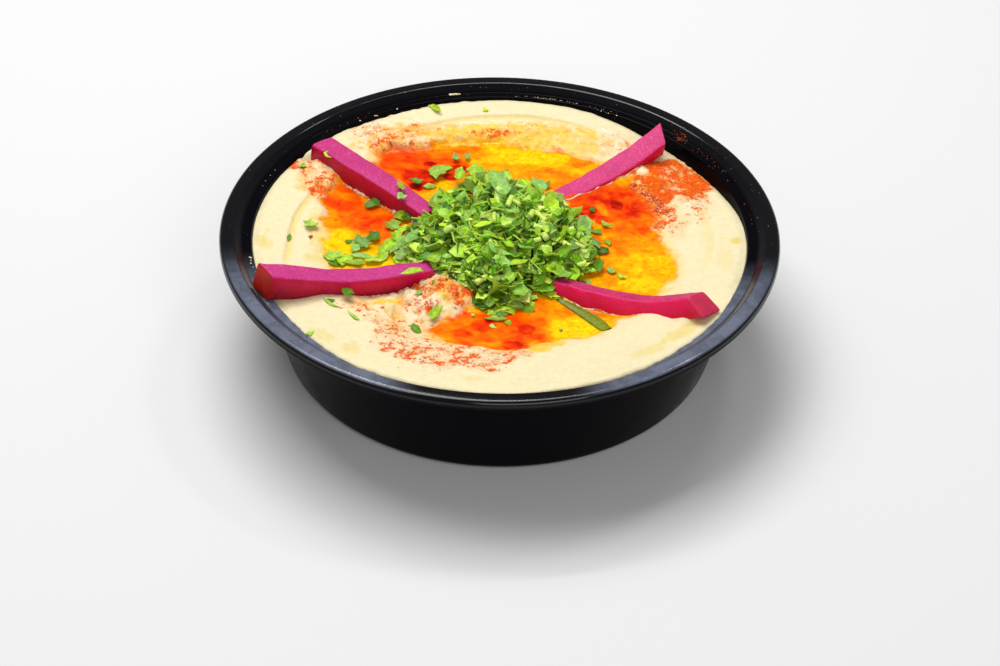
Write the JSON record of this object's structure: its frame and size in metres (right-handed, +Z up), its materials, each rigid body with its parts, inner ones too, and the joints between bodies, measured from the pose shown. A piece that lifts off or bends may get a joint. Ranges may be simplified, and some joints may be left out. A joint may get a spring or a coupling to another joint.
{
  "type": "hummus in a bowl",
  "caption": "Hummus in a round black takeaway bowl, with a spooned moat of oil and paprika, pickled turnip sticks and a heap of chopped parsley",
  "frame": {"origin": "middle of the underside of the bowl's base, which is the bottom centre of the bounding box", "axes": "+Z is up, out of the bowl. -Y is the front, the side towards the viewer, and +X is the viewer's right"},
  "size_m": [0.185, 0.185, 0.0527],
  "materials": {
    "black_plastic": "black polypropylene with a soft shine",
    "cream_hummus": "smooth moist chickpea paste, glossy where oil lies on it",
    "pickled_turnip": "moist magenta turnip, with fine-grained cut faces",
    "chopped_parsley": "fresh green leaf and stem pieces"
  },
  "bodies": {
    "root": {"bowl": "black_plastic", "hummus": "cream_hummus", "pickle_1": "pickled_turnip", "pickle_2": "pickled_turnip", "pickle_3": "pickled_turnip", "pickle_4": "pickled_turnip", "parsley_heap": "chopped_parsley"}
  },
  "joints": []
}
